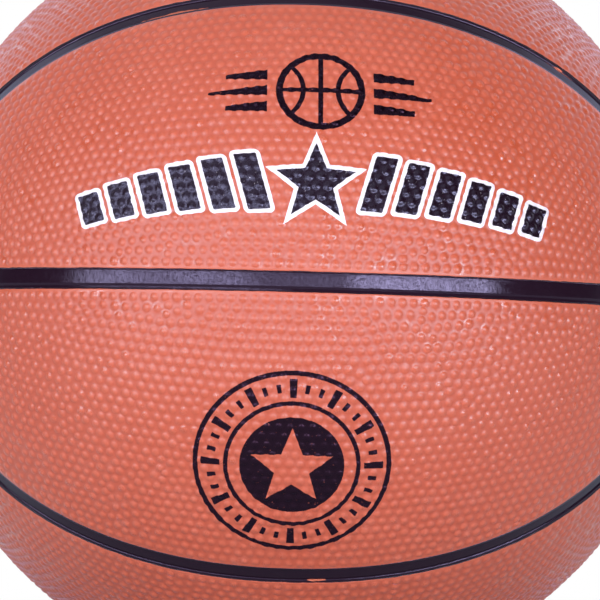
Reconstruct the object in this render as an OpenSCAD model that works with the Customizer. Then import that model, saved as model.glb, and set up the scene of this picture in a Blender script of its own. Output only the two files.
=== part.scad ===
// Size 5 moulded rubber basketball with a nylon-wound carcass.
// The origin is the centre of the ball. X runs along the middle seam as the front shows it, -Y is the front,
// in the middle of one seam loop, and +Z is the valve.
// Two great circles, the middle seam (in the plane Z = 0) and the cross seam (in the plane Y = 0), and two
// closed loops, one round -Y and one round +Y, divide the cover into eight panels.

/* [Ball] */
// Diameter of the inflated ball over the tops of its pebbles
ball_d = 222; // [200:0.5:250]

/* [Layers] */
// Thickness of a cover panel, pebbles included
cover_wall = 1.6; // [1.4:0.05:2.6]
// Thickness of the rubber carcass layer under the cover
carcass_wall = 0.5; // [0.3:0.05:1.2]
// Thickness of the nylon thread winding
winding_wall = 0.4; // [0.3:0.05:1.0]
// Thickness of the bladder
bladder_wall = 0.65; // [0.4:0.05:1.5]

/* [Seams] */
// Width of the sunken channel between two panels
seam_w = 4.9; // [3.5:0.1:6.3]
// Depth of the channel floor below the pebble tops
channel_depth = 0.95; // [0.6:0.05:1.2]
// Thickness of the lip that the strip turns up against each panel
lip_wall = 0.5; // [0.3:0.05:0.8]
// Depth of the lip's edge below the pebble tops
lip_drop = 0.3; // [0.2:0.05:0.5]

/* [Seam loops] */
// Distance over the surface from the middle of a loop to its end on the middle seam
loop_reach = 134; // [118:0.5:140]
// Distance over the surface from the middle seam to the top of a loop
loop_rise = 80; // [66:0.5:90]
// Fullness of the loop's outline: 2 is an ellipse seen from the front, more is squarer
loop_fullness = 2.15; // [1.9:0.05:2.5]

/* [Valve] */
// Diameter of the rubber boss that shows at the surface
boss_d = 11; // [9:0.5:13]
// Length of the valve housing from the surface inwards
housing_l = 14; // [10:0.5:18]
// Diameter of the flange that bonds the housing to the bladder
flange_d = 30; // [22:1:44]
// Thickness of the flange
flange_wall = 0.8; // [0.5:0.1:1.5]
// Diameter of the self-sealing plug
plug_d = 6.4; // [5.4:0.2:7]
// Diameter of the needle passage
needle_d = 2; // [1.6:0.1:2.6]
// Diameter of the funnel at the mouth of the passage
mouth_d = 3.6; // [3:0.1:4.4]

/* [Hidden] */

// Cement line between two bonded pieces
bond_gap = 0.05;
// How far the boss and the plug lie below the pebble tops
boss_drop = 0.4;
plug_drop = 0.7;
// Depth of the funnel at the mouth of the needle passage
mouth_depth = 0.8;
// Closed end of the housing under the plug, and the play round the needle there
housing_floor = 1.5;
exit_play = 0.4;
// Overrun of every cut
over = 5;
// Points round one seam loop
loop_points = 96;
$fn = 180;

ball_r = ball_d / 2;
panel_seat_r = ball_r - cover_wall;
carcass_r = panel_seat_r - bond_gap;
carcass_bore_r = carcass_r - carcass_wall;
winding_r = carcass_bore_r - bond_gap;
winding_bore_r = winding_r - winding_wall;
bladder_r = winding_bore_r - bond_gap;
bladder_bore_r = bladder_r - bladder_wall;
flange_r = bladder_bore_r - bond_gap;

strip_w = seam_w - 2 * bond_gap;
groove_w = strip_w - 2 * lip_wall;
floor_r = ball_r - channel_depth;
lip_r = ball_r - lip_drop;

boss_top = ball_r - boss_drop;
plug_top = ball_r - plug_drop;
housing_bottom = ball_r - housing_l;
plug_bottom = housing_bottom + housing_floor;
boss_hole_d = boss_d + 2 * bond_gap;
plug_hole_d = plug_d + 2 * bond_gap;
exit_d = needle_d + 2 * exit_play;

reach = ball_r + over;

panel_colour = [0.87, 0.42, 0.29];
seam_colour = [0.12, 0.09, 0.13];
carcass_colour = [0.16, 0.15, 0.16];
winding_colour = [0.88, 0.85, 0.76];
bladder_colour = [0.1, 0.1, 0.11];
valve_colour = [0.2, 0.17, 0.18];

// Angle at the ball's centre, in degrees, for a distance over the surface
function angle_of(distance) = distance / ball_r * 180 / PI;

// A signed power, for the loop's outline
function signed_power(v, e) = sign(v) * pow(abs(v), e);

function unit(v) = v / norm(v);

// Direction of the loop's centre line at the turn t: a superellipse seen from the front, laid on the ball
function loop_direction(t) =
    let (
        x = sin(angle_of(loop_reach)) * signed_power(cos(t), 2 / loop_fullness),
        z = sin(angle_of(loop_rise)) * signed_power(sin(t), 2 / loop_fullness)
    )
    [x, -sqrt(1 - x * x - z * z), z];

// The same, moved outwards over the surface, square to the loop
function offset_direction(t, outwards) =
    let (
        p = loop_direction(t),
        along = loop_direction(t + 0.5) - loop_direction(t - 0.5),
        side = unit(cross(along, p)),
        a = angle_of(outwards)
    )
    p * cos(a) + side * sin(a);

// Everything seen from the ball's centre through the loop, widened by a distance over the surface
module loop_cone(outwards) {
    cone_l = 1.4 * ball_r;
    ring = [for (i = [0 : loop_points - 1]) offset_direction(i * 360 / loop_points, outwards) * cone_l];
    polyhedron(
        points = concat([[0, 0, 0]], ring, [[0, -cone_l, 0]]),
        faces = concat(
            [for (i = [0 : loop_points - 1]) [0, i + 1, (i + 1) % loop_points + 1]],
            [for (i = [0 : loop_points - 1]) [loop_points + 1, (i + 1) % loop_points + 1, i + 1]]
        )
    );
}

module shell(outer_r, inner_r) {
    difference() {
        sphere(r = outer_r);
        sphere(r = inner_r);
    }
}

// The space above one face of the middle seam
module above_middle_seam(half_w) {
    translate([-reach, -reach, half_w])
        cube([2 * reach, 2 * reach, reach]);
}

// The space in front of one face of the cross seam
module front_of_cross_seam(half_w) {
    translate([-reach, -reach, -reach])
        cube([2 * reach, reach - half_w, 2 * reach]);
}

// A slab through the whole ball, square to Z or to Y
module middle_slab(w) {
    cube([2 * reach, 2 * reach, w], center = true);
}

module cross_slab(w) {
    cube([2 * reach, w, 2 * reach], center = true);
}

// The band on both sides of the front loop
module loop_band(w) {
    difference() {
        loop_cone(w / 2);
        loop_cone(-w / 2);
    }
}

// What a groove takes away above the channel floor
module above_floor() {
    difference() {
        children();
        sphere(r = floor_r);
    }
}

// The round opening for the valve, through whatever surrounds it
module valve_opening() {
    cylinder(h = reach, d = boss_hole_d);
}

module inner_panel() {
    intersection() {
        shell(ball_r, panel_seat_r);
        loop_cone(-seam_w / 2);
        above_middle_seam(seam_w / 2);
    }
}

module outer_panel() {
    difference() {
        intersection() {
            shell(ball_r, panel_seat_r);
            above_middle_seam(seam_w / 2);
            front_of_cross_seam(seam_w / 2);
        }
        loop_cone(seam_w / 2);
    }
}

module valved_outer_panel() {
    difference() {
        outer_panel();
        valve_opening();
    }
}

// The upper front arc of a loop strip: a floor with a lip turned up along each side
module loop_strip() {
    difference() {
        intersection() {
            shell(lip_r, panel_seat_r);
            loop_band(strip_w);
            above_middle_seam(seam_w / 2);
        }
        above_floor()
            loop_band(groove_w);
    }
}

// The whole cross seam as a ring, with its groove
module cross_seam_ring() {
    difference() {
        intersection() {
            shell(lip_r, panel_seat_r);
            cross_slab(strip_w);
        }
        above_floor()
            cross_slab(groove_w);
    }
}

module cross_seam_upper_left() {
    difference() {
        intersection() {
            cross_seam_ring();
            above_middle_seam(seam_w / 2);
            translate([-reach, -reach, -reach])
                cube([reach, 2 * reach, 2 * reach]);
        }
        valve_opening();
    }
}

module bladder() {
    color(bladder_colour)
        difference() {
            shell(bladder_r, bladder_bore_r);
            valve_opening();
        }
}

module nylon_winding() {
    color(winding_colour)
        difference() {
            shell(winding_r, winding_bore_r);
            valve_opening();
        }
}

module carcass_rubber() {
    color(carcass_colour)
        difference() {
            shell(carcass_r, carcass_bore_r);
            valve_opening();
        }
}

module valve_housing() {
    color(valve_colour)
        difference() {
            union() {
                translate([0, 0, housing_bottom])
                    cylinder(h = boss_top - housing_bottom, d = boss_d);
                intersection() {
                    shell(flange_r, flange_r - flange_wall);
                    cylinder(h = reach, d = flange_d);
                }
            }
            translate([0, 0, plug_bottom])
                cylinder(h = housing_l, d = plug_hole_d);
            translate([0, 0, housing_bottom - over])
                cylinder(h = housing_l, d = exit_d);
        }
}

module valve_plug() {
    color(seam_colour)
        difference() {
            translate([0, 0, plug_bottom])
                cylinder(h = plug_top - plug_bottom, d = plug_d);
            translate([0, 0, plug_bottom - over])
                cylinder(h = housing_l + over, d = needle_d);
            translate([0, 0, plug_top - mouth_depth])
                cylinder(h = mouth_depth, d1 = needle_d, d2 = mouth_d);
            translate([0, 0, plug_top])
                cylinder(h = over, d = mouth_d);
        }
}

module front_upper_inner_panel() {
    color(panel_colour)
        inner_panel();
}

module front_lower_inner_panel() {
    color(panel_colour)
        mirror([0, 0, 1])
            inner_panel();
}

module front_upper_outer_panel() {
    color(panel_colour)
        valved_outer_panel();
}

module front_lower_outer_panel() {
    color(panel_colour)
        mirror([0, 0, 1])
            outer_panel();
}

module back_upper_inner_panel() {
    color(panel_colour)
        mirror([0, 1, 0])
            inner_panel();
}

module back_lower_inner_panel() {
    color(panel_colour)
        rotate([180, 0, 0])
            inner_panel();
}

module back_upper_outer_panel() {
    color(panel_colour)
        mirror([0, 1, 0])
            valved_outer_panel();
}

module back_lower_outer_panel() {
    color(panel_colour)
        rotate([180, 0, 0])
            outer_panel();
}

module middle_seam_strip() {
    color(seam_colour)
        difference() {
            intersection() {
                shell(lip_r, panel_seat_r);
                middle_slab(strip_w);
            }
            above_floor() {
                middle_slab(groove_w);
                cross_slab(groove_w);
                loop_band(groove_w);
                mirror([0, 1, 0])
                    loop_band(groove_w);
            }
        }
}

module cross_seam_strip_upper_left() {
    color(seam_colour)
        cross_seam_upper_left();
}

module cross_seam_strip_upper_right() {
    color(seam_colour)
        mirror([1, 0, 0])
            cross_seam_upper_left();
}

module cross_seam_strip_lower() {
    color(seam_colour)
        intersection() {
            cross_seam_ring();
            mirror([0, 0, 1])
                above_middle_seam(seam_w / 2);
        }
}

module front_upper_loop_strip() {
    color(seam_colour)
        loop_strip();
}

module front_lower_loop_strip() {
    color(seam_colour)
        mirror([0, 0, 1])
            loop_strip();
}

module back_upper_loop_strip() {
    color(seam_colour)
        mirror([0, 1, 0])
            loop_strip();
}

module back_lower_loop_strip() {
    color(seam_colour)
        rotate([180, 0, 0])
            loop_strip();
}

bladder();
valve_housing();
valve_plug();
nylon_winding();
carcass_rubber();
front_upper_inner_panel();
front_lower_inner_panel();
front_upper_outer_panel();
front_lower_outer_panel();
back_upper_inner_panel();
back_lower_inner_panel();
back_upper_outer_panel();
back_lower_outer_panel();
middle_seam_strip();
cross_seam_strip_upper_left();
cross_seam_strip_upper_right();
cross_seam_strip_lower();
front_upper_loop_strip();
front_lower_loop_strip();
back_upper_loop_strip();
back_lower_loop_strip();
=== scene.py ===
# %% [markdown]
# A moulded rubber basketball.
#
# The real ball is a stack of skins: a rubber bladder, a winding of nylon thread, a thin rubber carcass, and
# on top of it eight pebbled rubber panels with black rubber strips in the sunken seams between them. A needle
# valve passes through all of it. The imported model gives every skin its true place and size. This file keeps
# the inner skins, gives each a finish, and models what is seen up close: the pebbles, the rolled panel edges,
# the channels in the seams, the rounded valve and the print.

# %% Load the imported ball
import math

import bpy
import numpy as np
from mathutils import Matrix, Vector
from mathutils.geometry import delaunay_2d_cdt


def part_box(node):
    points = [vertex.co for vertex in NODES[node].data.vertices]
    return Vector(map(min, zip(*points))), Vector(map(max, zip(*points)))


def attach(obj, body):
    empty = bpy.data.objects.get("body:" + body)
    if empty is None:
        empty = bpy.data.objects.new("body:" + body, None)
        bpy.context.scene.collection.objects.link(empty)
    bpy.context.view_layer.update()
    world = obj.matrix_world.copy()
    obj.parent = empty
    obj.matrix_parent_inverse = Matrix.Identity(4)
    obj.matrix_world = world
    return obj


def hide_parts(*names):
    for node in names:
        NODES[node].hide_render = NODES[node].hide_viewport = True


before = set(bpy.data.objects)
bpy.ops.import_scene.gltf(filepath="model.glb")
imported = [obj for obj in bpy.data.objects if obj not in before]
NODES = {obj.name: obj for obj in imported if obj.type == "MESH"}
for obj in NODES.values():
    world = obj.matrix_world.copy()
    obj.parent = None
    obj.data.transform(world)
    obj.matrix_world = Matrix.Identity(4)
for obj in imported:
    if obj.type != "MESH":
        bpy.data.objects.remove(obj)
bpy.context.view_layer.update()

# %% [markdown]
# The ball's radius and the seam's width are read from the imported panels. The seam's half width is the height
# of the upper panel's lowest point, because the middle seam lies in the plane Z = 0, and the ball's radius
# follows from that panel's nearest point to the front, which lies on its lower edge. The finer measures are
# those of a real ball of this size.

# %% Measures of the ball
MM = 0.001
PANEL_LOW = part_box("front_upper_inner_panel")[0]
SEAM_HALF = PANEL_LOW[2]
BALL_R = math.hypot(PANEL_LOW[1], SEAM_HALF)
COVER_WALL = 1.6 * MM
SEAT_R = BALL_R - COVER_WALL
PEBBLE_H = 0.42 * MM
SKIN_R = BALL_R - PEBBLE_H - 0.03 * MM
FLOOR_DEPTH = 0.95 * MM
LOOP_REACH = 134 * MM
LOOP_RISE = 80 * MM
LOOP_FULLNESS = 2.15
print("ball radius mm:", BALL_R / MM, "seam half width mm:", SEAM_HALF / MM)

# %% [markdown]
# The camera stands where the photograph was taken: six ball radii away, two degrees under the plane of the
# middle seam, and rolled by a degree and a half. The focal length follows from how large the ball is in the
# picture. The outline of a sphere is a cone of half angle asin(1 / distance in radii), so the focal length in
# pixels is the outline's radius divided by the tangent of that angle.

# %% Camera
IMAGE_PX = 600
OUTLINE_PX = 390.7
CENTRE_PX = (298.5, 296.6)
CAMERA_RADII = 6.0
CAMERA_BELOW = math.radians(1.86)
CAMERA_RIGHT = math.radians(0.47)
CAMERA_ROLL = math.radians(1.52)
SENSOR_MM = 36


def camera_axes():
    """Right, up and back of the camera: back points from the ball to the camera, and up is square to it,
    rolled about it."""
    back = Vector((
        math.sin(CAMERA_RIGHT) * math.cos(CAMERA_BELOW),
        -math.cos(CAMERA_RIGHT) * math.cos(CAMERA_BELOW),
        -math.sin(CAMERA_BELOW),
    ))
    level = Vector((0, 0, 1)).cross(back).normalized()
    upright = back.cross(level)
    right = level * math.cos(CAMERA_ROLL) + upright * math.sin(CAMERA_ROLL)
    up = upright * math.cos(CAMERA_ROLL) - level * math.sin(CAMERA_ROLL)
    return right, up, back


def make_camera():
    """The camera in its place, with its lens and the shift that puts the ball's middle off the picture's."""
    right, up, back = camera_axes()
    data = bpy.data.cameras.new("camera")
    camera = bpy.data.objects.new("camera", data)
    bpy.context.scene.collection.objects.link(camera)
    place = back * CAMERA_RADII * BALL_R
    camera.matrix_world = Matrix.Translation(place) @ Matrix((right, up, back)).transposed().to_4x4()
    focal_px = OUTLINE_PX * math.sqrt(CAMERA_RADII ** 2 - 1)
    data.sensor_width = SENSOR_MM
    data.sensor_fit = "HORIZONTAL"
    data.lens = focal_px / IMAGE_PX * SENSOR_MM
    data.shift_x = (IMAGE_PX / 2 - CENTRE_PX[0]) / IMAGE_PX
    data.shift_y = (CENTRE_PX[1] - IMAGE_PX / 2) / IMAGE_PX
    data.clip_start = 0.01
    bpy.context.scene.camera = camera
    return camera


camera = make_camera()
print("camera lens mm:", round(camera.data.lens, 1), "place:", tuple(round(v, 3) for v in camera.location))

# %% [markdown]
# A pattern on a sphere is easiest to work out on unit vectors: a direction times a radius is a place on the
# ball. The seams are two great circles and two closed loops. Seen from the front a loop is a superellipse,
# and its points are laid on the ball by working out their depth. A line beside a loop is the same curve moved
# square to itself along the surface. The middle seam's floor reaches a millimetre further up than down,
# almost to the panel's edge, which is why a distance above that seam counts a little less.

# %% Seam curves
def unit(v):
    """Each row of v divided by its length."""
    return v / np.linalg.norm(v, axis=-1, keepdims=True)


def loop_line(t, outwards=0.0):
    """Directions on the front loop at the turns t, in radians. x and z are cosine and sine, each to the
    power 2 / fullness and scaled to the loop's half length and half height, and y lies on the sphere. The
    line is then moved outwards over the surface by a distance in metres."""
    def on_line(turn):
        """Directions on the loop's own line."""
        cosine, sine = np.cos(turn), np.sin(turn)
        power = 2 / LOOP_FULLNESS
        x = math.sin(LOOP_REACH / BALL_R) * np.sign(cosine) * np.abs(cosine) ** power
        z = math.sin(LOOP_RISE / BALL_R) * np.sign(sine) * np.abs(sine) ** power
        return np.stack([x, -np.sqrt(1 - x * x - z * z), z], -1)

    t = np.asarray(t, float)
    step = 0.004
    here = on_line(t)
    side = unit(np.cross(on_line(t + step) - on_line(t - step), here))
    angle = np.asarray(outwards, float)[..., None] / BALL_R
    return here * np.cos(angle) + side * np.sin(angle)


def even_steps(line, count):
    """The line's points moved to count even steps along it, without its last point."""
    steps = np.linalg.norm(np.diff(line, axis=0), axis=1)
    along = np.concatenate([[0], np.cumsum(steps)])
    wanted = np.linspace(0, along[-1], count + 1)[:-1]
    return unit(np.stack([np.interp(wanted, along, line[:, k]) for k in range(3)], -1))


LOOP_SAMPLES = even_steps(loop_line(np.linspace(0, 2 * math.pi, 9000)), 1000)
LOOP_TANGENTS = unit(np.roll(LOOP_SAMPLES, -1, axis=0) - np.roll(LOOP_SAMPLES, 1, axis=0))


def loop_distance(points):
    """Distance over the surface, in metres, from directions to the nearer loop's centre line. The back half
    is mirrored to the front. There the nearest of many even samples is found, the part of the way to it that
    runs along the line is taken off, and twice the arcsine of half the rest is the angle."""
    folded = points * np.array([1.0, 0.0, 1.0]) + np.outer(-np.abs(points[:, 1]), [0, 1, 0])
    nearest = np.concatenate([
        (folded[start:start + 4000] @ LOOP_SAMPLES.T).argmax(1) for start in range(0, len(points), 4000)
    ])
    way = folded - LOOP_SAMPLES[nearest]
    along = (way * LOOP_TANGENTS[nearest]).sum(1)
    aside = np.sqrt(np.maximum((way ** 2).sum(1) - along ** 2, 0))
    return 2 * np.arcsin(np.minimum(aside / 2, 1)) * BALL_R


UPPER_WIDER = 1.02 * MM


def seam_distance(points):
    """Distance, in metres, from directions to the centre line of the nearest seam of any kind. The middle
    seam's floor reaches further up than down, so above it the distance counts a little less."""
    height = points[:, 2] * BALL_R
    middle = np.maximum(-height, height - UPPER_WIDER)
    cross = np.abs(points[:, 1]) * BALL_R
    return np.minimum(np.minimum(middle, cross), loop_distance(points))


# %% [markdown]
# One helper makes every mesh of this file. It takes arrays of places and faces, so that nothing is placed
# vertex by vertex, and it can carry values per vertex for the materials to read.

# %% Mesh helper
def mesh_piece(name, places, faces, values=None, smooth=True):
    """A new object at the origin from an array of places, a list of arrays of faces with three or four
    corners each, and named values per vertex."""
    mesh = bpy.data.meshes.new(name)
    sizes = np.concatenate([np.full(len(f), f.shape[1]) for f in faces])
    corners = np.concatenate([f.ravel() for f in faces])
    starts = np.concatenate([[0], np.cumsum(sizes)[:-1]])
    mesh.vertices.add(len(places))
    mesh.vertices.foreach_set("co", np.asarray(places, np.float32).ravel())
    mesh.loops.add(len(corners))
    mesh.loops.foreach_set("vertex_index", corners.astype(np.int32))
    mesh.polygons.add(len(sizes))
    mesh.polygons.foreach_set("loop_start", starts.astype(np.int32))
    mesh.polygons.foreach_set("use_smooth", np.full(len(sizes), smooth))
    for label, data in (values or {}).items():
        layer = mesh.attributes.new(label, "FLOAT", "POINT")
        layer.data.foreach_set("value", np.asarray(data, np.float32))
    mesh.update(calc_edges=True)
    mesh.validate()
    piece = bpy.data.objects.new(name, mesh)
    bpy.context.scene.collection.objects.link(piece)
    return piece


# %% [markdown]
# A panel's outline is a closed line at a chosen distance from the seams' centre lines. At half the seam's
# width it is the panel's cut edge, a little further in it is the edge of the pebbles. An inner panel has two
# sides, the middle seam and the loop. An outer panel has four: two short ones on the middle seam, the loop,
# and the cross seam, which steps round the valve's boss on the upper panels. Each side keeps its number of
# points whatever the distance, so two such lines make a strip of quads.

# %% Panel outlines
BOSS_R = 5.5 * MM
BOSS_HOLE_R = BOSS_R + 0.05 * MM


def level_line(height, start, end):
    """Directions at one height over the middle seam's plane, from the angle start to the angle end, both
    measured from the front towards +X."""
    angle = np.linspace(start, end, 400)
    z = height / BALL_R
    flat = math.sqrt(1 - z * z)
    return np.stack([flat * np.sin(angle), -flat * np.cos(angle), np.full_like(angle, z)], -1)


def cross_line(gap, start, end):
    """Directions at one distance in front of the cross seam's plane, from the angle start to the angle end,
    both measured from +X towards +Z."""
    angle = np.linspace(start, end, 400)
    y = gap / BALL_R
    flat = math.sqrt(1 - y * y)
    return np.stack([flat * np.cos(angle), np.full_like(angle, -y), flat * np.sin(angle)], -1)


def loop_start(gap, outwards):
    """The turn at which the loop's line, moved outwards, comes down to the distance gap from the middle
    seam. By the line's symmetry it comes down again at half a turn less that."""
    turn = np.linspace(-0.05, 0.5, 600)
    return np.interp(gap, loop_line(turn, outwards)[:, 2] * BALL_R, turn)


def loop_side(gap, outwards):
    """The upper half of the front loop moved outwards, from right to left, down to the distance gap from
    the middle seam."""
    first = loop_start(gap, outwards)
    return loop_line(np.linspace(first, math.pi - first, 900), outwards)


def panel_sides(kind, gap):
    """The sides of a front upper panel's outline, anticlockwise as seen from outside, at the distance gap
    from the centre line of every seam."""
    if kind == "inner":
        loop = loop_side(gap, -gap)
        corner = math.atan2(loop[0, 0], -loop[0, 1])
        return [level_line(gap, -corner, corner), loop]
    loop = loop_side(gap, gap)
    corner = math.atan2(loop[0, 0], -loop[0, 1])
    end = math.asin(math.sqrt(1 - (gap / BALL_R) ** 2 * 2) / math.sqrt(1 - (gap / BALL_R) ** 2))
    foot = math.asin(gap / BALL_R / math.sqrt(1 - (gap / BALL_R) ** 2))
    sides = [level_line(gap, corner, end)]
    if kind == "valved":
        ring = (BOSS_HOLE_R + gap - SEAM_HALF) / BALL_R
        turn = math.asin(min(1.0, gap / BALL_R / ring))
        half = math.asin(ring * math.cos(turn) / math.sqrt(1 - (gap / BALL_R) ** 2))
        angle = np.linspace(-turn, turn - math.pi, 200)
        flat = np.full_like(angle, math.sqrt(1 - ring ** 2))
        sides += [
            cross_line(gap, foot, math.pi / 2 - half),
            np.stack([ring * np.cos(angle), ring * np.sin(angle), flat], -1),
            cross_line(gap, math.pi / 2 + half, math.pi - foot),
        ]
    else:
        sides += [cross_line(gap, foot, math.pi - foot)]
    sides += [level_line(gap, -end, -corner), loop[::-1]]
    return sides


def panel_outline(kind, gap, counts):
    """The whole outline as one ring of directions, with the given number of points on each side."""
    return np.concatenate([even_steps(side, count) for side, count in zip(panel_sides(kind, gap), counts)])


def side_counts(kind, gap, spacing):
    """How many points each side of the outline takes at a spacing in metres."""
    lengths = [np.linalg.norm(np.diff(s, axis=0), axis=1).sum() * BALL_R for s in panel_sides(kind, gap)]
    return [max(2, round(length / spacing)) for length in lengths]


for kind in ("inner", "outer", "valved"):
    print(kind, "panel, points on each side at 1 mm:", side_counts(kind, SEAM_HALF, 1 * MM))

# %% [markdown]
# The pebbles are as even as bubbles packed together: rows of a honeycomb that bend gently towards the
# borders. The mould maker's rows follow the panel's edge, so a first row is laid along it at an even step.
# The rest starts as a jittered honeycomb and is relaxed. In each round the points are joined into triangles
# that leave no point inside a triangle's circle, and each point moves to the mean of the circles' centres
# round it, weighted by the triangles' areas. On a sphere the centre of a triangle's circle is simply its
# normal. The triangles are found on a flat map that keeps circles as circles.

# %% Pebble layout
PEBBLE_STEP = 2.78 * MM
FIRST_ROW = 4.35 * MM
PANEL_TILT = {"inner": math.radians(20), "outer": math.radians(50), "valved": math.radians(50)}


def panel_axes(kind):
    """Right, up and outward directions at a panel's middle, as the rows of a matrix."""
    tilt = PANEL_TILT[kind]
    return np.array([
        [1, 0, 0],
        [0, math.sin(tilt), math.cos(tilt)],
        [0, -math.cos(tilt), math.sin(tilt)],
    ])


def triangulate(kind, points, border):
    """Triangles between directions, only inside the closed line of the first border of them. The flat map
    divides right and up by one plus outward, which is the view from the ball's far side. A triangle that
    joins three points of the line against its sense lies in the bay of the loop and is left out."""
    turned = points @ panel_axes(kind).T
    flat = turned[:, :2] / (1 + turned[:, 2:])
    ring = [(i, (i + 1) % border) for i in range(border)]
    triangles = np.array(delaunay_2d_cdt([Vector(p) for p in flat.tolist()], ring, [], 1, 1e-9, False)[2])
    against = (np.roll(triangles, -1, axis=1) < triangles).sum(1) == 2
    return triangles[~(against & (triangles < border).all(1))]


def panel_gap(kind, points):
    """Distance from directions to the nearest seam's centre line, counted below zero outside the panel. At
    the valve the boss's rim counts as a seam's edge."""
    x, y, z = points.T
    across = np.abs(x) / math.sin(LOOP_REACH / BALL_R)
    upright = np.abs(z) / math.sin(LOOP_RISE / BALL_R)
    within = (across ** LOOP_FULLNESS + upright ** LOOP_FULLNESS < 1) & (y < 0)
    gap = np.minimum(z * BALL_R, np.where(within == (kind == "inner"), loop_distance(points), -1))
    if kind != "inner":
        gap = np.minimum(gap, -y * BALL_R)
    if kind == "valved":
        gap = np.minimum(gap, np.hypot(x, y) * BALL_R - BOSS_HOLE_R + SEAM_HALF)
    return gap


def honeycomb(kind, step, shake, rng):
    """Directions of a jittered honeycomb over the panel's half of the ball. A place (u, v) of the flat
    honeycomb goes to the direction whose straight distance from the middle is the same, which keeps areas."""
    reach = 1.5
    rise = step * math.sqrt(3) / 2
    u, v = np.meshgrid(np.arange(-reach, reach, step), np.arange(-reach, reach, rise))
    u[1::2] += step / 2
    flat = np.stack([u.ravel(), v.ravel()], -1)
    flat += rng.uniform(-shake, shake, flat.shape) * step
    chord = np.linalg.norm(flat, axis=1)
    flat, chord = flat[chord < reach], chord[chord < reach]
    lean = np.sqrt(1 - chord ** 2 / 4)
    local = np.column_stack([flat * lean[:, None], 1 - chord ** 2 / 2])
    return local @ panel_axes(kind)


def pebble_sites(kind, rounds=9, seed=5):
    """Directions of a panel's pebbles, the first row along the border first, and how many that row has."""
    rng = np.random.default_rng(seed)
    row = panel_outline(kind, FIRST_ROW, side_counts(kind, FIRST_ROW, PEBBLE_STEP))
    free = honeycomb(kind, PEBBLE_STEP / BALL_R, 0.34, rng)
    free = free[panel_gap(kind, free) > FIRST_ROW + 0.62 * PEBBLE_STEP]
    sites = np.concatenate([row, free])
    for _ in range(rounds):
        triangles = triangulate(kind, sites, len(row))
        a, b, c = (sites[triangles[:, k]] for k in range(3))
        normal = np.cross(b - a, c - a)
        total = np.zeros_like(sites)
        for k in range(3):
            for axis in range(3):
                total[:, axis] += np.bincount(triangles[:, k], normal[:, axis], len(sites))
        sites[len(row):] = unit(total[len(row):])
    return sites, len(row)


# %% [markdown]
# Every pebble is a round dome in its own cell of the honeycomb. The cell's border runs from the middle of
# each edge to the middle of each triangle around the pebble, so twelve spokes lead from its top to that
# border. Each spoke carries a few rings, and a ring's height follows from its true distance to the top, which
# makes the dome round whatever shape the cell has. Along the panel's border there is no pebble, only the
# smooth margin, and the cells there are drawn towards the border so that the first row stays whole. High on
# an inner panel, towards the loop, the pebbles are up to two fifths flatter than elsewhere.

# %% Pebbled skin
DOME_R = 1.16 * MM
DOME_SPREAD = 0.10
DOME_SAG = 0.32
BORDER_PULL = 3
WORN_SHARE = 0.40
WORN_FROM, WORN_FULL = 0.56, 0.65
SKIN_EDGE = 2.95 * MM
# The margin's points are a step apart, and a dome has rings at these shares of its radius.
MARGIN_STEP = {"inner": 1.25 * MM, "outer": 1.45 * MM, "valved": 1.45 * MM}
DOME_RINGS = {"inner": (0.42, 0.74, 0.98), "outer": (0.50, 0.90), "valved": (0.50, 0.90)}
# Distance from the seam's centre line and depth under the ball's surface, from the skin down the wall.
EDGE_PROFILE = (
    (2.79 * MM, 0.46 * MM),
    (2.74 * MM, 0.475 * MM),
    (2.52 * MM, 0.565 * MM),
    (2.47 * MM, 0.61 * MM),
    (2.45 * MM, 0.69 * MM),
    (2.45 * MM, 1.60 * MM),
)


def dome_height(distance, radius):
    """Share of the full height at a distance from the top: one minus distance over radius to the power 2.6,
    all to the power 1.5, and zero past the radius."""
    return np.clip(1 - (distance / radius) ** 2.6, 0, 1) ** 1.5


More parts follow.
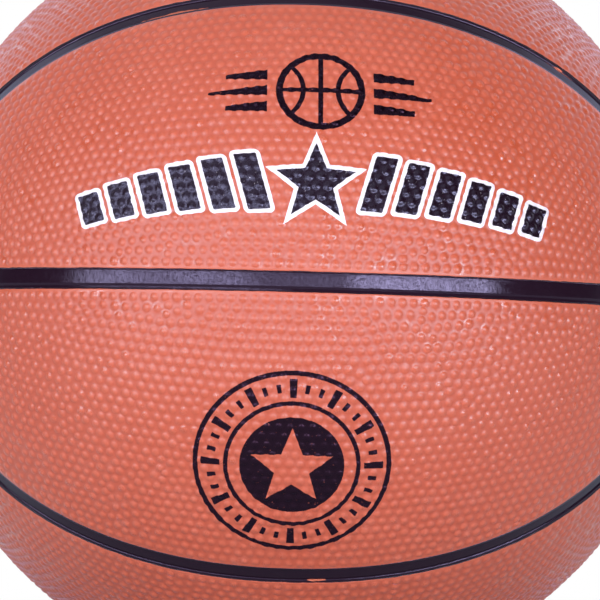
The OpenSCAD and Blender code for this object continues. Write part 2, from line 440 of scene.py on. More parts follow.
def skin_surface(sites, site_triangles, border, rings, flattened, rng):
    """The pebbled surface over a triangulation whose first border points are the smooth margin's edge.
    rings are the distances of a dome's rings as shares of its radius, and flattened is the share of height
    that each site's dome has lost. Returns places, faces with four and with three corners, and the shares of
    the full height."""
    count = len(sites)
    a = site_triangles
    b = np.roll(a, -1, axis=1)
    pairs = np.sort(np.stack([a.ravel(), b.ravel()], -1), axis=1)
    edges, edge_of = np.unique(pairs, axis=0, return_inverse=True)
    edge_of = edge_of.reshape(a.shape)
    pull = np.where(np.arange(count) < border, BORDER_PULL, 1)[:, None]
    middle = (sites * pull)[edges].sum(1) / pull[edges].sum(1)
    centre = (sites * pull)[a].sum(1) / pull[a].sum(1)
    base = np.concatenate([sites, unit(middle), unit(centre)])
    middle_id = count + edge_of
    centre_id = np.repeat((count + len(edges) + np.arange(len(a)))[:, None], 3, axis=1)
    on_border = (a < border) & (b < border)
    on_border &= np.isin(np.abs(a - b), (1, border - 1))

    corner = np.concatenate([a[~on_border], b[~on_border]])
    first = np.concatenate([middle_id[~on_border], centre_id[~on_border]])
    second = np.concatenate([centre_id[~on_border], middle_id[~on_border]])
    plain = corner < border
    flat_faces = [
        np.stack([corner[plain], first[plain], second[plain]], -1),
        np.stack([a[on_border], b[on_border], centre_id[on_border]], -1),
    ]

    corner, first, second = corner[~plain], first[~plain], second[~plain]
    spokes, spoke_of = np.unique(
        np.concatenate([np.stack([corner, first], -1), np.stack([corner, second], -1)]),
        axis=0, return_inverse=True)
    first_spoke, second_spoke = spoke_of.reshape(2, -1)
    top, foot = base[spokes[:, 0]], base[spokes[:, 1]]
    length = np.linalg.norm(foot - top, axis=1) * BALL_R
    radius = DOME_R * (1 + DOME_SPREAD * rng.uniform(-1, 1, count))
    height = (1 - DOME_SAG * rng.uniform(0, 1, count)) * (1 - flattened)
    height[:border] = 0
    places, shares = [base], [height, np.zeros(len(base) - count)]
    for ring in rings:
        reach = np.minimum(ring * radius[spokes[:, 0]], 0.96 * length)
        places.append(unit(top + (foot - top) * (reach / length)[:, None]))
        shares.append(dome_height(reach, radius[spokes[:, 0]]) * height[spokes[:, 0]])
    places, shares = np.concatenate(places), np.concatenate(shares)

    def on_ring(number, spoke):
        """Number of the vertex on a spoke's ring."""
        return len(base) + number * len(spokes) + spoke

    three = flat_faces + [np.stack([corner, on_ring(0, first_spoke), on_ring(0, second_spoke)], -1)]
    four = []
    for number in range(len(rings)):
        last = number == len(rings) - 1
        outer_first = first if last else on_ring(number + 1, first_spoke)
        outer_second = second if last else on_ring(number + 1, second_spoke)
        inner_first, inner_second = on_ring(number, first_spoke), on_ring(number, second_spoke)
        four.append(np.stack([inner_first, outer_first, outer_second, inner_second], -1))
    places = places * (SKIN_R + PEBBLE_H * shares)[:, None]
    return places, np.concatenate(four), np.concatenate(three), shares


def pebbled_panel(kind, seed):
    """A whole front upper panel as a closed shell: pebbled skin, rolled edge, wall down to the seat, and a
    plain inner face. Returns places, faces and values per vertex."""
    rng = np.random.default_rng(seed)
    pebbles, row = pebble_sites(kind, seed=seed)
    counts = side_counts(kind, SKIN_EDGE, MARGIN_STEP[kind])
    margin = panel_outline(kind, SKIN_EDGE, counts)
    border = len(margin)
    sites = np.concatenate([margin, pebbles])
    triangles = triangulate(kind, sites, border)
    worn = WORN_SHARE * np.clip((sites[:, 2] - WORN_FROM) / (WORN_FULL - WORN_FROM), 0, 1) * (kind == "inner")
    places, four, three, shares = skin_surface(sites, triangles, border, DOME_RINGS[kind], worn, rng)
    gaps = panel_gap(kind, unit(places))

    walls = [panel_outline(kind, gap, counts) * (BALL_R - depth) for gap, depth in EDGE_PROFILE]
    inner = pebbles[row::6]
    seat = np.concatenate([walls[-1] / np.linalg.norm(walls[-1], axis=1, keepdims=True), inner])
    seat_faces = triangulate(kind, seat, border)[:, ::-1]
    rows = [np.arange(border)] + [len(places) + k * border + np.arange(border) for k in range(len(walls))]
    wall_faces = [
        np.stack([upper, lower, np.roll(lower, -1), np.roll(upper, -1)], -1)
        for upper, lower in zip(rows[:-1], rows[1:])
    ]
    base = len(places) + (len(walls) - 1) * border
    wall_gaps = np.repeat([gap for gap, depth in EDGE_PROFILE], border)
    values = {
        "pebble": np.concatenate([shares, np.zeros(len(wall_gaps) + len(inner))]),
        "margin": np.concatenate([gaps, wall_gaps, np.full(len(inner), SEAM_HALF)]) / MM,
    }
    places = np.concatenate([places] + walls + [inner * (BALL_R - EDGE_PROFILE[-1][1])])
    faces = [four, three] + wall_faces + [seat_faces + base]
    used, compact = np.unique(np.concatenate([f.ravel() for f in faces]), return_inverse=True)
    sizes = np.cumsum([f.size for f in faces])[:-1]
    faces = [part.reshape(f.shape) for part, f in zip(np.split(compact, sizes), faces)]
    count = sum(len(f) * (f.shape[1] - 2) for f in faces)
    print(kind, "panel:", len(pebbles), "pebbles,", count, "triangles")
    return places[used], faces, {label: data[used] for label, data in values.items()}


# %% [markdown]
# One upper panel of each kind is worked out, and the others are the same panel in another place. Half turns
# about the axes carry the front upper quarter to the other quarters. A half turn keeps a shape's hand, so
# the faces still point outwards, which a mirror would undo.

# %% The eight panels
HALF_TURNS = {
    "front_upper": (1, 1, 1),
    "back_upper": (-1, -1, 1),
    "front_lower": (-1, 1, -1),
    "back_lower": (1, -1, -1),
}
PANELS = []
for kind, seed, quarters in (
    ("inner", 5, ("front_upper", "back_upper", "front_lower", "back_lower")),
    ("valved", 7, ("front_upper", "back_upper")),
    ("outer", 11, ("front_lower", "back_lower")),
):
    places, faces, values = pebbled_panel(kind, seed)
    for quarter in quarters:
        node = quarter + ("_inner_panel" if kind == "inner" else "_outer_panel")
        panel = mesh_piece("pebbled_" + node, places * np.array(HALF_TURNS[quarter]), faces, values)
        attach(panel, "root")
        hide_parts(node)
        PANELS.append(panel)

# %% [markdown]
# The black line is a rubber channel strip. Between its lips lies a flat floor with a shallow groove and a low
# wall on each side, and from the wall a lip rises at ten degrees to the panel's wall. Floor and lip are plain
# slopes, because each then mirrors one lamp as a clear band. Above the middle seam the floor takes the lip's
# place. Where two seams cross, the channels run into each other without a step. That comes from one rule: the
# depth at any place follows from the distance to the nearest seam, of whichever kind. A strip is then a grid
# of lines side by side, carried along the seam, with a plain underside on the carcass.

# %% Seam strips
STRIP_HALF = SEAM_HALF - 0.05 * MM
# Distance from the seam's centre line and depth under the ball's surface, from the floor up to the lip.
CHANNEL_PROFILE = (
    (0.0, FLOOR_DEPTH),
    (1.12 * MM, FLOOR_DEPTH),
    (1.17 * MM, FLOOR_DEPTH),
    (1.22 * MM, FLOOR_DEPTH + 0.006 * MM),
    (1.68 * MM, FLOOR_DEPTH + 0.060 * MM),
    (1.72 * MM, FLOOR_DEPTH + 0.060 * MM),
    (1.76 * MM, 0.697 * MM),
    (1.80 * MM, 0.686 * MM),
    (2.35 * MM, 0.589 * MM),
    (STRIP_HALF, 0.58 * MM),
)
PROFILE_GAPS = np.array([gap for gap, depth in CHANNEL_PROFILE[1:]])
UPPER_GAPS = PROFILE_GAPS[:3] + UPPER_WIDER
STRIP_OFFSETS = np.concatenate([-PROFILE_GAPS[::-1], [0], PROFILE_GAPS])
MIDDLE_OFFSETS = np.concatenate([-PROFILE_GAPS[::-1], [0], UPPER_GAPS, [STRIP_HALF]])


def channel_depth(points):
    """Depth of a strip's top under the ball's surface at directions: the channel's profile over the distance
    to the nearest seam."""
    gaps, depths = zip(*CHANNEL_PROFILE)
    return np.interp(seam_distance(points), gaps, depths)


def finer_near(start, end, step, spots, spread, fine):
    """Places from start to end a step apart, with places a fine step apart within spread of each spot."""
    places = [np.linspace(start, end, max(2, round((end - start) / step) + 1))]
    for spot in spots:
        low, high = max(start, spot - spread), min(end, spot + spread)
        if low < high:
            places.append(np.linspace(low, high, max(2, round((high - low) / fine) + 1)))
    merged = np.unique(np.concatenate(places))
    keep = np.concatenate([[True], np.diff(merged) > 0.3 * fine])
    keep[-1] = True
    return merged[keep]


def strip_piece(name, directions, offsets, closed):
    """A strip from a grid of directions, along the seam in the first index and across it, at the offsets, in
    the second. The underside lies at the seat's radius. A closed strip joins its end to its start, an open
    one gets two end faces."""
    rows, columns = directions.shape[:2]
    flat = directions.reshape(-1, 3)
    top = flat * (BALL_R - channel_depth(flat))[:, None]
    edges = directions[:, [0, -1]].reshape(-1, 3) * (SEAT_R + 0.02 * MM)
    places = np.concatenate([top, edges])
    grid = np.arange(rows * columns).reshape(rows, columns)
    under = rows * columns + np.arange(rows * 2).reshape(rows, 2)
    if closed:
        grid, under = np.vstack([grid, grid[:1]]), np.vstack([under, under[:1]])

    def quads(near, far):
        """Faces between two lines of vertices that run side by side."""
        return np.stack([near[:-1], near[1:], far[1:], far[:-1]], -1).reshape(-1, 4)

    faces = [quads(grid[:, k], grid[:, k + 1]) for k in range(columns - 1)]
    faces += [quads(under[:, 0], grid[:, 0]), quads(grid[:, -1], under[:, 1])]
    faces += [quads(under[:, 1], under[:, 0])]
    faces = [np.concatenate(faces)]
    if not closed:
        faces += [np.concatenate([under[0, :1], grid[0], under[0, 1:]])[None]]
        faces += [np.concatenate([under[-1, :1], grid[-1], under[-1, 1:]])[None, ::-1]]
    across = np.concatenate([np.tile(offsets, rows), np.tile([-STRIP_HALF, STRIP_HALF], rows)])
    return mesh_piece(name, places, faces, {"across": across / MM})


def middle_grid():
    """The middle seam: the offset is the height over the plane Z = 0, and the angle runs from +X to +Y."""
    front_crossing = LOOP_REACH / BALL_R
    crossings = [0, math.pi / 2 - front_crossing, math.pi / 2 + front_crossing, math.pi]
    crossings += [-angle for angle in crossings]
    angle = finer_near(-math.pi, math.pi, 1.4 * MM / BALL_R, crossings, 4 * MM / BALL_R, 0.25 * MM / BALL_R)
    angle, height = np.meshgrid(angle[:-1], MIDDLE_OFFSETS / BALL_R, indexing="ij")
    flat = np.sqrt(1 - height ** 2)
    return np.stack([flat * np.cos(angle), flat * np.sin(angle), height], -1)


def cross_grid(start, end):
    """A stretch of the cross seam: the offset is the distance in front of the plane Y = 0, and the angle
    from +X towards +Z runs from start to end, which differ from one line of the grid to the next."""
    share = finer_near(0, 1, 0.01, (0, 1), 0.03, 0.0015)[:, None]
    angle = start + (end - start) * share
    y = -STRIP_OFFSETS / BALL_R + 0 * angle
    flat = np.sqrt(1 - y ** 2)
    return np.stack([flat * np.cos(angle), y, flat * np.sin(angle)], -1)


def loop_grid():
    """The upper half of the front loop, from right to left. Each line of the grid starts and ends where it
    comes down to the middle strip's side."""
    share = finer_near(0, 1, 0.006, (0, 1), 0.02, 0.001)
    lines = []
    for offset in STRIP_OFFSETS:
        first = loop_start(SEAM_HALF, -offset)
        lines.append(loop_line(first + (math.pi - 2 * first) * share, -offset))
    return np.stack(lines, 1)


across_flat = np.sqrt(1 - (STRIP_OFFSETS / BALL_R) ** 2)
foot = np.arcsin(SEAM_HALF / BALL_R / across_flat)
beside_boss = np.arcsin(np.sqrt((BOSS_HOLE_R / BALL_R) ** 2 - (STRIP_OFFSETS / BALL_R) ** 2) / across_flat)
STRIPS = {"middle_seam_strip": strip_piece("channel_middle_seam_strip", middle_grid(), MIDDLE_OFFSETS, True)}
for node, start, end in (
    ("cross_seam_strip_upper_right", foot, math.pi / 2 - beside_boss),
    ("cross_seam_strip_upper_left", math.pi / 2 + beside_boss, math.pi - foot),
    ("cross_seam_strip_lower", math.pi + foot, 2 * math.pi - foot),
):
    STRIPS[node] = strip_piece("channel_" + node, cross_grid(start, end), STRIP_OFFSETS, False)
front_loop = loop_grid()
for quarter, turn in HALF_TURNS.items():
    node = quarter + "_loop_strip"
    STRIPS[node] = strip_piece("channel_" + node, front_loop * np.array(turn), STRIP_OFFSETS, False)
for node, strip in STRIPS.items():
    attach(strip, "root")
    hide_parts(node)
    print(strip.name, len(strip.data.polygons), "faces")

# %% [markdown]
# The valve is turned about the Z axis like a lathe part: a profile of radius and height, carried once round.
# Moulded rubber has no sharp edge, so the boss's rim is rolled and stands a little proud of the channel's
# floor, and the plug's mouth is a soft funnel that guides the needle. The hidden flange under the bladder's
# wall is a cap of a sphere, so its profile is an arc.

# %% Needle valve
HOUSING_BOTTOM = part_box("valve_housing")[0][2]
BOSS_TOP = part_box("valve_housing")[1][2]
PLUG_BOTTOM, PLUG_TOP = (corner[2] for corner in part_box("valve_plug"))
PLUG_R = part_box("valve_plug")[1][0]
FLANGE_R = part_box("valve_housing")[1][0]
NEEDLE_R = 1.0 * MM


def lathe(name, profile, turns=120):
    """A closed ring of revolution: the profile's (radius, height) points, in order round the section, each
    carried round the Z axis."""
    radius, height = np.array(profile).T
    angle = np.linspace(0, 2 * math.pi, turns, endpoint=False)[:, None]
    places = np.stack([radius * np.cos(angle), radius * np.sin(angle), height + 0 * angle], -1)
    grid = np.arange(turns * len(profile)).reshape(turns, len(profile))
    across, around = np.roll(grid, -1, axis=1), np.roll(grid, -1, axis=0)
    both = np.roll(across, -1, axis=0)
    faces = np.stack([grid, around, both, across], -1).reshape(-1, 4)
    return mesh_piece(name, places.reshape(-1, 3), [faces])


def arc(centre_r, centre_z, radius, start, end, points=6):
    """Points of an arc about a centre, from start to end in degrees."""
    angles = np.radians(np.linspace(start, end, points))
    return [(centre_r + radius * math.cos(a), centre_z + radius * math.sin(a)) for a in angles]


def cap_arc(sphere_r, from_r, to_r, points=8):
    """Points of an arc about the ball's centre, between two distances from the Z axis."""
    start, end = (math.degrees(math.acos(r / sphere_r)) for r in (from_r, to_r))
    return arc(0, 0, sphere_r, start, end, points)


def valve_housing():
    """The boss with its rolled rim and ring groove, its flange on the bladder, and the plug's pocket."""
    flange_top, flange_under, rim = 107.65 * MM, 106.85 * MM, 0.45 * MM
    exit_r, pocket_r, groove_r = NEEDLE_R + 0.4 * MM, PLUG_R + 0.05 * MM, 4.55 * MM
    profile = [(exit_r, HOUSING_BOTTOM)]
    profile += arc(BOSS_R - rim, HOUSING_BOTTOM + rim, rim, -90, 0)
    profile += cap_arc(flange_under, BOSS_R, FLANGE_R)
    profile += cap_arc(flange_top, FLANGE_R, BOSS_R)
    profile += arc(BOSS_R - rim, BOSS_TOP - rim, rim, 0, 90)
    profile += arc(groove_r, BOSS_TOP, 0.22 * MM, 0, -180, 9)
    profile += arc(pocket_r + 0.2 * MM, BOSS_TOP - 0.2 * MM, 0.2 * MM, 90, 180)
    profile += [(pocket_r, PLUG_BOTTOM), (exit_r, PLUG_BOTTOM)]
    return lathe("rolled_valve_housing", profile)


def valve_plug():
    """The plug: a rounded cylinder with a funnel mouth over the needle's passage."""
    roll, mouth_r, mouth_depth = 0.3 * MM, 1.8 * MM, 0.8 * MM
    profile = [(NEEDLE_R, PLUG_BOTTOM)]
    profile += arc(PLUG_R - roll, PLUG_BOTTOM + roll, roll, -90, 0)
    profile += arc(PLUG_R - roll, PLUG_TOP - roll, roll, 0, 90)
    profile += arc(mouth_r + roll, PLUG_TOP - roll, roll, 90, 150)
    profile += [(NEEDLE_R, PLUG_TOP - mouth_depth)]
    return lathe("funnelled_valve_plug", profile)


VALVE = {"valve_housing": valve_housing(), "valve_plug": valve_plug()}
for node, slot in (("valve_housing", "valve_rubber"), ("valve_plug", "plug_rubber")):
    piece = VALVE[node]
    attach(piece, "root")
    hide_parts(node)
    print(piece.name, len(piece.data.polygons), "faces")

# %% [markdown]
# Materials are built from nodes. A Field is a value that changes over the surface, such as a noise or a
# coordinate. Adding or multiplying Fields adds the Math nodes for it, so that a formula reads as a formula,
# and a few helpers do the same for the other kinds of node.

# %% Node helpers
class Field:
    """A node's output in its tree. Arithmetic on it adds Math nodes and gives a new Field."""

    def __init__(self, tree, socket):
        self.tree = tree
        self.socket = socket

    def __add__(self, other):
        return calc("ADD", self, other)

    def __sub__(self, other):
        return calc("SUBTRACT", self, other)

    def __rsub__(self, other):
        return calc("SUBTRACT", other, self)

    def __mul__(self, other):
        return calc("MULTIPLY", self, other)

    def __truediv__(self, other):
        return calc("DIVIDE", self, other)

    def __abs__(self):
        return calc("ABSOLUTE", self)


def plug_in(socket, value):
    """Links a Field to a node's input, or sets a plain value there."""
    if isinstance(value, Field):
        value.tree.links.new(value.socket, socket)
    else:
        socket.default_value = value


def from_node(tree, kind, inputs=None, output=0, **settings):
    """The Field that a new node puts out. inputs gives numbers, colours or Fields by the socket's name or
    number, output says which output it is, settings gives the node's own properties."""
    made = tree.nodes.new("ShaderNode" + kind)
    for key, value in settings.items():
        setattr(made, key, value)
    for key, value in (inputs or {}).items():
        plug_in(made.inputs[key], value)
    return Field(tree, made.outputs[output])


def calc(operation, *values):
    """One step of arithmetic on numbers and Fields, at least one of them a Field."""
    tree = next(value.tree for value in values if isinstance(value, Field))
    return from_node(tree, "Math", dict(enumerate(values)), operation=operation)


def highest(first, second):
    """The greater of two values."""
    return calc("MAXIMUM", first, second)


def lowest(first, second):
    """The smaller of two values."""
    return calc("MINIMUM", first, second)


def step_up(value, low, high, out_low=0.0, out_high=1.0):
    """A smooth step: out_low up to low, out_high from high on, and an S curve between."""
    inputs = {"Value": value, "From Min": low, "From Max": high, "To Min": out_low, "To Max": out_high}
    return from_node(value.tree, "MapRange", inputs, interpolation_type="SMOOTHSTEP")


def blend_colour(share, first, second):
    """The colour first where share is 0, second where it is 1."""
    return from_node(share.tree, "Mix", {0: share, 6: first, 7: second}, 2, data_type="RGBA")


def blend_number(share, first, second):
    """The number first where share is 0, second where it is 1."""
    return from_node(share.tree, "Mix", {0: share, 2: first, 3: second}, 0, data_type="FLOAT")


def noise(place, scale, detail=2.0, roughness=0.5):
    """Fractal noise from 0 to 1. The scale is the number of waves in a metre."""
    inputs = {"Vector": place, "Scale": scale, "Detail": detail, "Roughness": roughness}
    return from_node(place.tree, "TexNoise", inputs, "Fac")


def part_of(place, axis):
    """One coordinate of a place."""
    return from_node(place.tree, "SeparateXYZ", {0: place}, axis)


def distance_from(place, point):
    """Distance from a place to a point, in metres."""
    return from_node(place.tree, "VectorMath", {0: place, 1: point}, "Value", operation="DISTANCE")


def attribute(tree, name):
    """A value that the mesh carries per vertex."""
    return from_node(tree, "Attribute", None, "Fac", attribute_name=name, attribute_type="GEOMETRY")


def new_group(name, inputs, outputs):
    """An empty node group with number or vector inputs (name, kind, value) and named number outputs.
    Returns the inputs as Fields and the sockets to plug the outputs into."""
    tree = bpy.data.node_groups.new(name, "ShaderNodeTree")
    for label, kind, value in inputs:
        socket = tree.interface.new_socket(label, in_out="INPUT", socket_type="NodeSocket" + kind)
        socket.default_value = value
    for label in outputs:
        tree.interface.new_socket(label, in_out="OUTPUT", socket_type="NodeSocketFloat")
    given = tree.nodes.new("NodeGroupInput").outputs
    fields = {label: Field(tree, given[label]) for label, kind, value in inputs}
    return fields, tree.nodes.new("NodeGroupOutput").inputs


def use_group(group, inputs):
    """A group's node beside its Place, with its inputs filled. Returns its outputs as Fields."""
    tree = inputs["Place"].tree
    made = tree.nodes.new("ShaderNodeGroup")
    made.node_tree = group
    for key, value in inputs.items():
        plug_in(made.inputs[key], value)
    return {socket.name: Field(tree, socket) for socket in made.outputs}


def new_material(name, **sockets):
    """A material with one Principled shader. sockets sets its plain values by name, with _ for a space.
    Returns the material, the shader's inputs and the Object coordinates."""
    material = bpy.data.materials.new(name)
    material.use_nodes = True
    shader = material.node_tree.nodes["Principled BSDF"].inputs
    for key, value in sockets.items():
        shader[key.replace("_", " ")].default_value = value
    return material, shader, from_node(material.node_tree, "TexCoord", None, "Object")


def add_bump(shader, height, strength, distance):
    """Fine relief that only the light shows, from a height in shares of a distance in metres."""
    inputs = {"Strength": strength, "Distance": distance, "Height": height}
    plug_in(shader["Normal"], from_node(height.tree, "Bump", inputs))


# %% [markdown]
# Moulded rubber has a fine grain from the mould, a slow mottling from the way it cured, and a haze of dust.
# All the rubbers of the ball share these, each at its own size and strength, so they are one group.

# %% Rubber grain group
def rubber_grain_group():
    """Grain: fine noise mixed with finer noise. Mottle: slow noise stretched to the full range. Haze: a
    middle-sized noise above a threshold, broken up by the fine one."""
    given, out = new_group(
        "rubber_grain",
        [("Place", "Vector", (0, 0, 0)), ("Grain Scale", "Float", 2200.0), ("Mottle Scale", "Float", 28.0)],
        ["Grain", "Mottle", "Haze"],
    )
    place, grain_scale, mottle_scale = given.values()
    fine = noise(place, grain_scale, 3, 0.6)
    finer = noise(place, grain_scale * 2.7, 1)
    slow = noise(place, mottle_scale, 3, 0.55)
    patch = noise(place, mottle_scale * 7.0, 4, 0.6)
    plug_in(out["Grain"], fine * 0.6 + finer * 0.4)
    plug_in(out["Mottle"], step_up(slow, 0.3, 0.7))
    plug_in(out["Haze"], step_up(patch, 0.52, 0.75) * step_up(fine, 0.35, 0.65))
    return place.tree


RUBBER_GRAIN = rubber_grain_group()


def rubber_grain(place, grain_scale, mottle_scale):
    """The grain, mottle and haze of a rubber at its own sizes."""
    return use_group(RUBBER_GRAIN, {"Place": place, "Grain Scale": grain_scale, "Mottle Scale": mottle_scale})


# %% [markdown]
# A ball that has been handled shows a few hair-thin scratches and rubbed spots. A scratch is where a noise
# that is stretched a hundredfold in one direction passes a high threshold, and it is kept only inside small
# islands of another noise, so that there are few of them.

# %% Handling marks group
def handling_marks_group():
    """Scratch: stretched noise above a threshold, times islands. Rub: soft round spots, sparse."""
    given, out = new_group("handling_marks", [("Place", "Vector", (0, 0, 0))], ["Scratch", "Rub"])
    place = given["Place"]
    stretched = from_node(place.tree, "Mapping", {"Vector": place, "Scale": (1700, 500, 45)})
    islands = step_up(noise(place, 55.0, 1), 0.60, 0.68)
    spots = from_node(place.tree, "TexVoronoi", {"Vector": place, "Scale": 45.0}, "Distance")
    broken = spots + noise(place, 420.0, 3) * 0.22
    plug_in(out["Scratch"], step_up(noise(stretched, 1.0, 1), 0.68, 0.72) * islands)
    plug_in(out["Rub"], step_up(broken, 0.12, 0.24, 1.0, 0.0))
    return place.tree


HANDLING_MARKS = handling_marks_group()

# %% [markdown]
# The print is ink laid on the finished ball, so it follows the surface and not the camera. A print is drawn
# in millimetres on a flat sheet and wrapped on the ball: a place's distance from the sheet's middle is
# measured along the surface, and its direction from there is kept. Each shape is a signed distance, below
# zero inside the ink, so that an outline of any width is only another threshold.

# %% Print sheet group
def length_of(x, y):
    """Distance of a point on the sheet from its middle."""
    return calc("SQRT", x * x + y * y)


def print_sheet_group():
    """Across and Up in millimetres from a middle direction: the angle to the middle times the ball's radius,
    shared out by how far the direction leans to the right and upwards."""
    given, out = new_group(
        "print_sheet",
        [("Place", "Vector", (0, 0, 0)), ("Middle", "Vector", (0, -1, 0)),
         ("Right", "Vector", (1, 0, 0)), ("Upwards", "Vector", (0, 0, 1))],
        ["Across", "Up"],
    )
    tree = given["Place"].tree
    direction = from_node(tree, "VectorMath", {0: given["Place"]}, operation="NORMALIZE")
    middle, right, upwards = (
        from_node(tree, "VectorMath", {0: direction, 1: given[label]}, "Value", operation="DOT_PRODUCT")
        for label in ("Middle", "Right", "Upwards")
    )
    angle = calc("ARCCOSINE", lowest(middle, 0.999999))
    scale = angle * (BALL_R / MM) / highest(length_of(right, upwards), 1e-6)
    plug_in(out["Across"], right * scale)
    plug_in(out["Up"], upwards * scale)
    return tree


PRINT_SHEET = print_sheet_group()


def print_sheet(place, across_mm, up_mm):
    """The sheet's own coordinates for a middle that lies at those distances from the ball's front."""
    turn, rise = across_mm * MM / BALL_R, up_mm * MM / BALL_R
    sheet = use_group(PRINT_SHEET, {
        "Place": place,
        "Middle": (math.sin(turn) * math.cos(rise), -math.cos(turn) * math.cos(rise), math.sin(rise)),
        "Right": (math.cos(turn), math.sin(turn), 0),
        "Upwards": (-math.sin(turn) * math.sin(rise), math.cos(turn) * math.sin(rise), math.cos(rise)),
    })
    return sheet["Across"], sheet["Up"]


# %% Shapes on the sheet
def nearest_of(*distances):
    """The union of shapes: the smallest of their signed distances."""
    result = distances[0]
    for other in distances[1:]:
        result = lowest(result, other)
    return result


def bar_distance(x, y, half_x, half_y, corner=0.35):
    """Signed distance to a bar with rounded corners: the length of the positive parts of |x| and |y| less
    the half sides, less the corner's radius."""
    over_x, over_y = abs(x) - (half_x - corner), abs(y) - (half_y - corner)
    outside = length_of(highest(over_x, 0.0), highest(over_y, 0.0))
    inside = lowest(highest(over_x, over_y), 0.0)
    return outside + inside - corner


def star_distance(x, y, outer, inner):
    """Signed distance to a five-pointed star. The angle is folded into half a point, and there the star's
    edge is one straight line from the tip to the notch."""
    fifth = 2 * math.pi / 5
    angle = calc("ARCTAN2", x, y) + (fifth / 2 + 4 * fifth)
    folded = calc("MODULO", angle, fifth) - fifth / 2
    radius = length_of(x, y)
    along, aside = radius * calc("COSINE", folded), radius * abs(calc("SINE", folded))
    run, rise = inner * math.cos(fifth / 2) - outer, inner * math.sin(fifth / 2)
    size = math.hypot(run, rise)
    return (along - outer) * (rise / size) - aside * (run / size)


def ring_distance(radius, middle_r, half_width):
    """Signed distance to a ring of a given middle radius."""
    return abs(radius - middle_r) - half_width


def inside(distance, within=1.0, beyond=0.0):
    """One value inside a shape and another outside it, with a border a tenth of a millimetre wide."""
    return step_up(distance, -0.05, 0.05, within, beyond)


def nearest_copy(value, pitch, first, last):
    """Which copy of a repeated shape a value is nearest to, as a whole number from first to last."""
    return lowest(highest(calc("ROUND", value / pitch), first), last)


# %% [markdown]
# The upper print is a row of slanted bars that shrink to both sides of a star, black with white outlines, and
# over it a small ball between speed lines. The lower print is a round badge: two rings with ticks between
# them, and a dark disc with a star left bare.

# %% Upper print
ROW_PLACE = (4.5, 25.2)
ROW_SAG = 0.0014
ROW_STAR = (10.2, 4.4)
ROW_STAR_DROP = 0.6
BAR_PITCH = 8.4
BAR_LEAN = 0.28
BAR_HALF = 2.75
BAR_HEIGHT = 7.2
BAR_SHRINK = 0.62
BAR_FIRST = 15.6
ICON_PLACE = (5.5, 49.4)
ICON_R = 10.2
ICON_ARC_MIDDLE, ICON_ARC_R = 13.2, 8.9
PEN_HALF = 0.62
FINE_CORNER = 0.2
LINE_PITCH = 4.6
LINE_START = ICON_R + 3.0
LINE_REACH, LINE_SHORTER = 7.4, 2.2
LINE_THICK, LINE_TAPER = 1.45, 0.07


def upper_row_distance(place):
    """Signed distance to the star and the bars. The row sags by a share of the square of the distance
    across, and the bars lean outwards, the same on both sides."""
    across, up = print_sheet(place, *ROW_PLACE)
    level = up + across * across * ROW_SAG
    from_first = abs(across) - level * BAR_LEAN - BAR_FIRST
    number = nearest_copy(from_first, BAR_PITCH, 0.0, 5.0)
    half_height = BAR_HEIGHT - number * BAR_SHRINK
    bars = bar_distance(from_first - number * BAR_PITCH, level, BAR_HALF, half_height)
    return nearest_of(bars, star_distance(across, level + ROW_STAR_DROP, *ROW_STAR))


def ball_icon_distance(place):
    """Signed distance to a small ball drawn in line, with three lines beside it that taper outwards."""
    across, up = print_sheet(place, *ICON_PLACE)
    radius, beside = length_of(across, up), abs(across)
    arcs = ring_distance(length_of(beside - ICON_ARC_MIDDLE, up), ICON_ARC_R, PEN_HALF)
    seams = nearest_of(arcs, beside - PEN_HALF, abs(up) - PEN_HALF)
    rim = ring_distance(radius, ICON_R, PEN_HALF + 0.25)
    number = nearest_copy(up, LINE_PITCH, -1.0, 1.0)
    along = beside - LINE_START
    reach, half_line = LINE_REACH - abs(number) * LINE_SHORTER, LINE_THICK - along * LINE_TAPER
    lines = bar_distance(along - reach, up - number * LINE_PITCH, reach, half_line, FINE_CORNER)
    return nearest_of(highest(seams, radius - ICON_R), rim, lines)


# %% Lower badge
BADGE_PLACE = (0.3, -46.2)
BADGE_R = 24.0
BADGE_INNER_R, BADGE_INNER_HALF = 16.4, 0.55
BADGE_STAR = (10.6, 4.5)
BADGE_STAR_DROP = 0.5
DISC_R = 12.9
TICKS = 36
TICK_R = 20.2
TICK_ARC_R = 20.1
TICK_HALVES = (0.55, 1.1)
LONG_TICK_HALVES = (0.90, 2.4)


def badge_distance(place):
    """Signed distance to the badge. The ticks repeat with the angle, every third one is longer."""
    across, up = print_sheet(place, *BADGE_PLACE)
    radius = length_of(across, up)
    rings = nearest_of(
        ring_distance(radius, BADGE_R, PEN_HALF), ring_distance(radius, BADGE_INNER_R, BADGE_INNER_HALF))
    turn = calc("ARCTAN2", across, up) * (TICKS / (2 * math.pi))
    number = calc("ROUND", turn)
    aside = (turn - number) * (2 * math.pi * TICK_ARC_R / TICKS)
    third = abs(calc("MODULO", number + (3.0 * TICKS + 1.0), 3.0) - 1.0)
    is_long = calc("LESS_THAN", third, 0.5)
    halves = [is_long * (long - short) + short for short, long in zip(TICK_HALVES, LONG_TICK_HALVES)]
    ticks = bar_distance(aside, radius - TICK_R, *halves, FINE_CORNER)
    star = star_distance(across, up + BADGE_STAR_DROP, *BADGE_STAR)
    return nearest_of(rings, ticks, highest(radius - DISC_R, star * -1.0))
